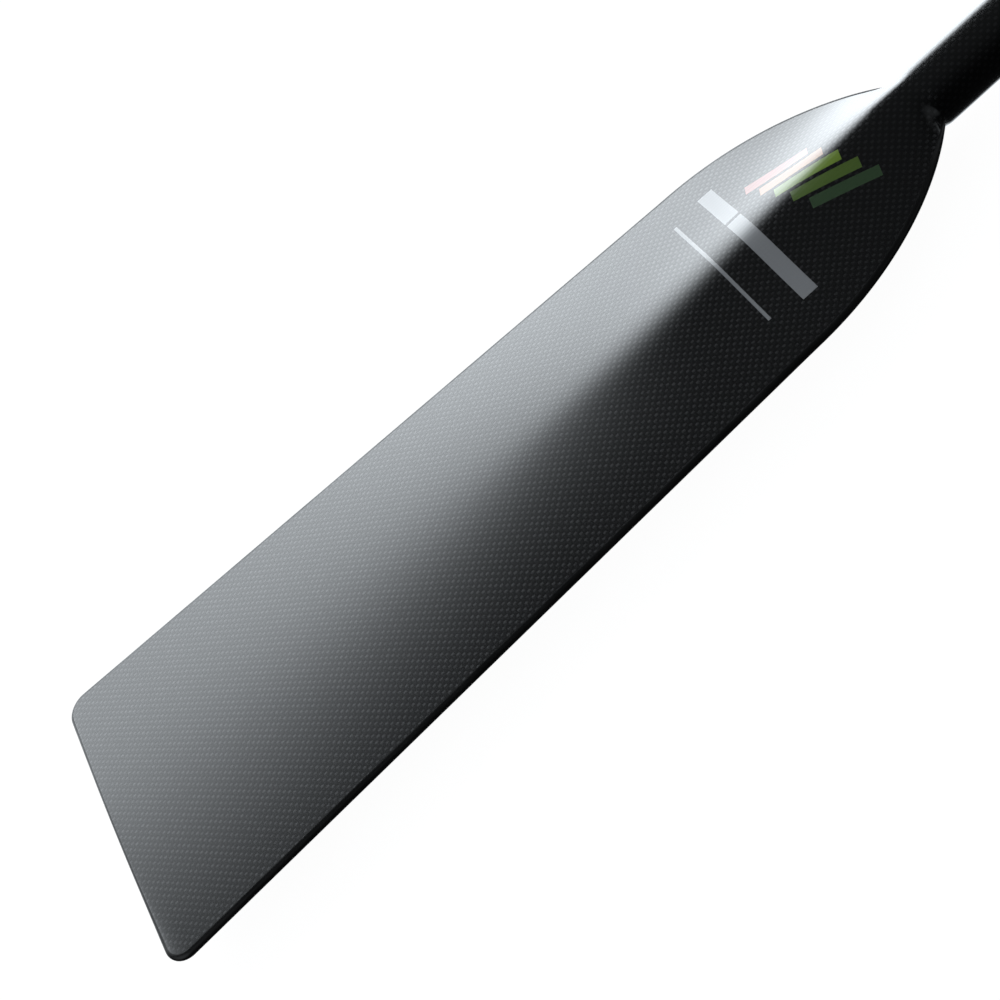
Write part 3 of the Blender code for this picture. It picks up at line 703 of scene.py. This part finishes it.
def grip():
    """Both forms are blended into one body by a fine remesh, which is then cut along the moulding seam."""
    data = bpy.data.meshes.new("grip_form")
    form = grip_form()
    form.to_mesh(data)
    form.free()
    guide = bpy.data.objects.new("grip_form", data)
    scene.collection.objects.link(guide)
    remesh = guide.modifiers.new("remesh", "REMESH")
    remesh.mode = "VOXEL"
    remesh.voxel_size = VOXEL
    relax = guide.modifiers.new("relax", "SMOOTH")
    relax.factor = 0.5
    relax.iterations = RELAX_ROUNDS
    blended = guide.evaluated_get(bpy.context.evaluated_depsgraph_get()).to_mesh()
    halves = [
        ("grip_upper", 1, ("grip_shell_top", "grip_neck_ring")),
        ("grip_lower", -1, ("grip_shell_bottom",)),
    ]
    for name, side, replaced in halves:
        mesh = bmesh.new()
        mesh.from_mesh(blended)
        everything = mesh.verts[:] + mesh.edges[:] + mesh.faces[:]
        seam = place(0, 0, side * SEAM_HALF)
        bmesh.ops.bisect_plane(mesh, geom=everything, plane_co=seam, plane_no=(0, 0, side), clear_inner=True)
        border = [edge for edge in mesh.edges if edge.is_boundary]
        bmesh.ops.holes_fill(mesh, edges=border, sides=0)
        piece(name, mesh, GRIP_PLASTIC, "handle", replaced, SMOOTH_ANGLE)
    bpy.data.objects.remove(guide)


# ---------------------------------------------------------------- light, floor and camera
def direction(azimuth, elevation):
    """A unit vector; azimuth 0 is +Y and 90 is +X."""
    a, e = radians(azimuth), radians(elevation)
    return Vector((sin(a) * cos(e), cos(a) * cos(e), sin(e)))


def studio():
    """A dark room: a large soft light low behind the paddle, a glow below it and three weak side lights."""
    world = bpy.data.worlds.new("studio")
    scene.world = world
    world.use_nodes = True
    graph = Graph(world.node_tree)
    ray = graph.node("ShaderNodeTexCoord").outputs["Generated"]
    parts = graph.node("ShaderNodeSeparateXYZ")
    graph.feed(parts.inputs[0], ray)
    azimuth = graph.math("DEGREES", graph.math("ARCTAN2", parts.outputs[0], parts.outputs[1]))
    elevation = graph.math("DEGREES", graph.math("ARCSINE", parts.outputs[2]))
    behind_tip = graph.math("MINIMUM", azimuth, 0.0)
    start = graph.math("ADD", PANEL_TOP, graph.math("MULTIPLY", behind_tip, -PANEL_LEAN))
    top = graph.math("SUBTRACT", elevation, start)
    width = graph.math("ADD", PANEL_SOFT, graph.math("MULTIPLY", behind_tip, PANEL_CRISP))
    top = graph.math("DIVIDE", top, width)
    right = graph.math("ADD", azimuth, graph.math("MULTIPLY", elevation, PANEL_SLANT))
    panel = graph.math("ADD", PANEL_STRENGTH, graph.math("MULTIPLY", behind_tip, PANEL_GAIN))
    for edge in (graph.ramp(top, 0.0, 1.0, 1.0, 0.0), graph.ramp(elevation, *PANEL_BOTTOM),
                 graph.ramp(azimuth, *PANEL_LEFT), graph.ramp(right, *PANEL_RIGHT, 1.0, 0.0)):
        panel = graph.math("MULTIPLY", panel, edge)
    total = graph.math("ADD", panel, graph.ramp(elevation, 0.0, 90.0, ROOM_LIGHT, TOP_LIGHT))
    for (side, height), full, dark, strength in GLOWS:
        dot = graph.node("ShaderNodeVectorMath", operation="DOT_PRODUCT")
        graph.feed(dot.inputs[0], ray)
        dot.inputs[1].default_value = direction(side, height)
        lobe = graph.ramp(dot.outputs["Value"], cos(radians(dark)), cos(radians(full)), 0.0, strength)
        total = graph.math("ADD", total, lobe)
    background = world.node_tree.nodes["Background"]
    background.inputs["Color"].default_value = LIGHT_COLOUR
    graph.feed(background.inputs["Strength"], total)


def staged(name, mesh):
    data = bpy.data.meshes.new(name)
    mesh.to_mesh(data)
    mesh.free()
    made = bpy.data.objects.new(name, data)
    scene.collection.objects.link(made)
    return made


def backdrop():
    """A white dome round the room that only the camera sees."""
    mesh = bmesh.new()
    bmesh.ops.create_uvsphere(mesh, u_segments=48, v_segments=24, radius=ROOM_SIZE)
    made = staged("backdrop", mesh)
    material, _, shader = principled("backdrop", Emission_Strength=1.0)
    shader.inputs["Base Color"].default_value = grey(0.0)
    shader.inputs["Emission Color"].default_value = grey(1.0)
    made.data.materials.append(material)
    made.visible_diffuse = made.visible_glossy = False
    made.visible_transmission = made.visible_shadow = False


def floor():
    """A pale floor that shines by itself like a light table, so that shadows on it stay faint."""
    mesh = bmesh.new()
    bmesh.ops.create_grid(mesh, x_segments=1, y_segments=1, size=ROOM_SIZE)
    made = staged("floor", mesh)
    made.location.z = -FLOOR_DROP
    material, _, shader = principled("floor", Emission_Strength=FLOOR_GLOW, Specular_IOR_Level=0.0)
    shader.inputs["Base Color"].default_value = grey(FLOOR_SHADE)
    shader.inputs["Emission Color"].default_value = grey(1.0)
    made.data.materials.append(material)
    made.visible_glossy = False


def camera():
    data = bpy.data.cameras.new("camera")
    data.lens = LENS
    data.sensor_width = SENSOR
    data.clip_start = NEAREST
    made = bpy.data.objects.new("camera", data)
    scene.collection.objects.link(made)
    made.location = place(*CAMERA_PLACE)
    aim = (place(*CAMERA_AIM) - made.location).to_track_quat("-Z", "Y")
    made.rotation_mode = "QUATERNION"
    made.rotation_quaternion = aim @ Quaternion((0, 0, 1), -radians(CAMERA_ROLL))
    scene.camera = made


# ---------------------------------------------------------------- the scene
blade()
shaft()
grip()
carried_over()
studio()
backdrop()
floor()
camera()
scene.view_settings.view_transform = "Standard"
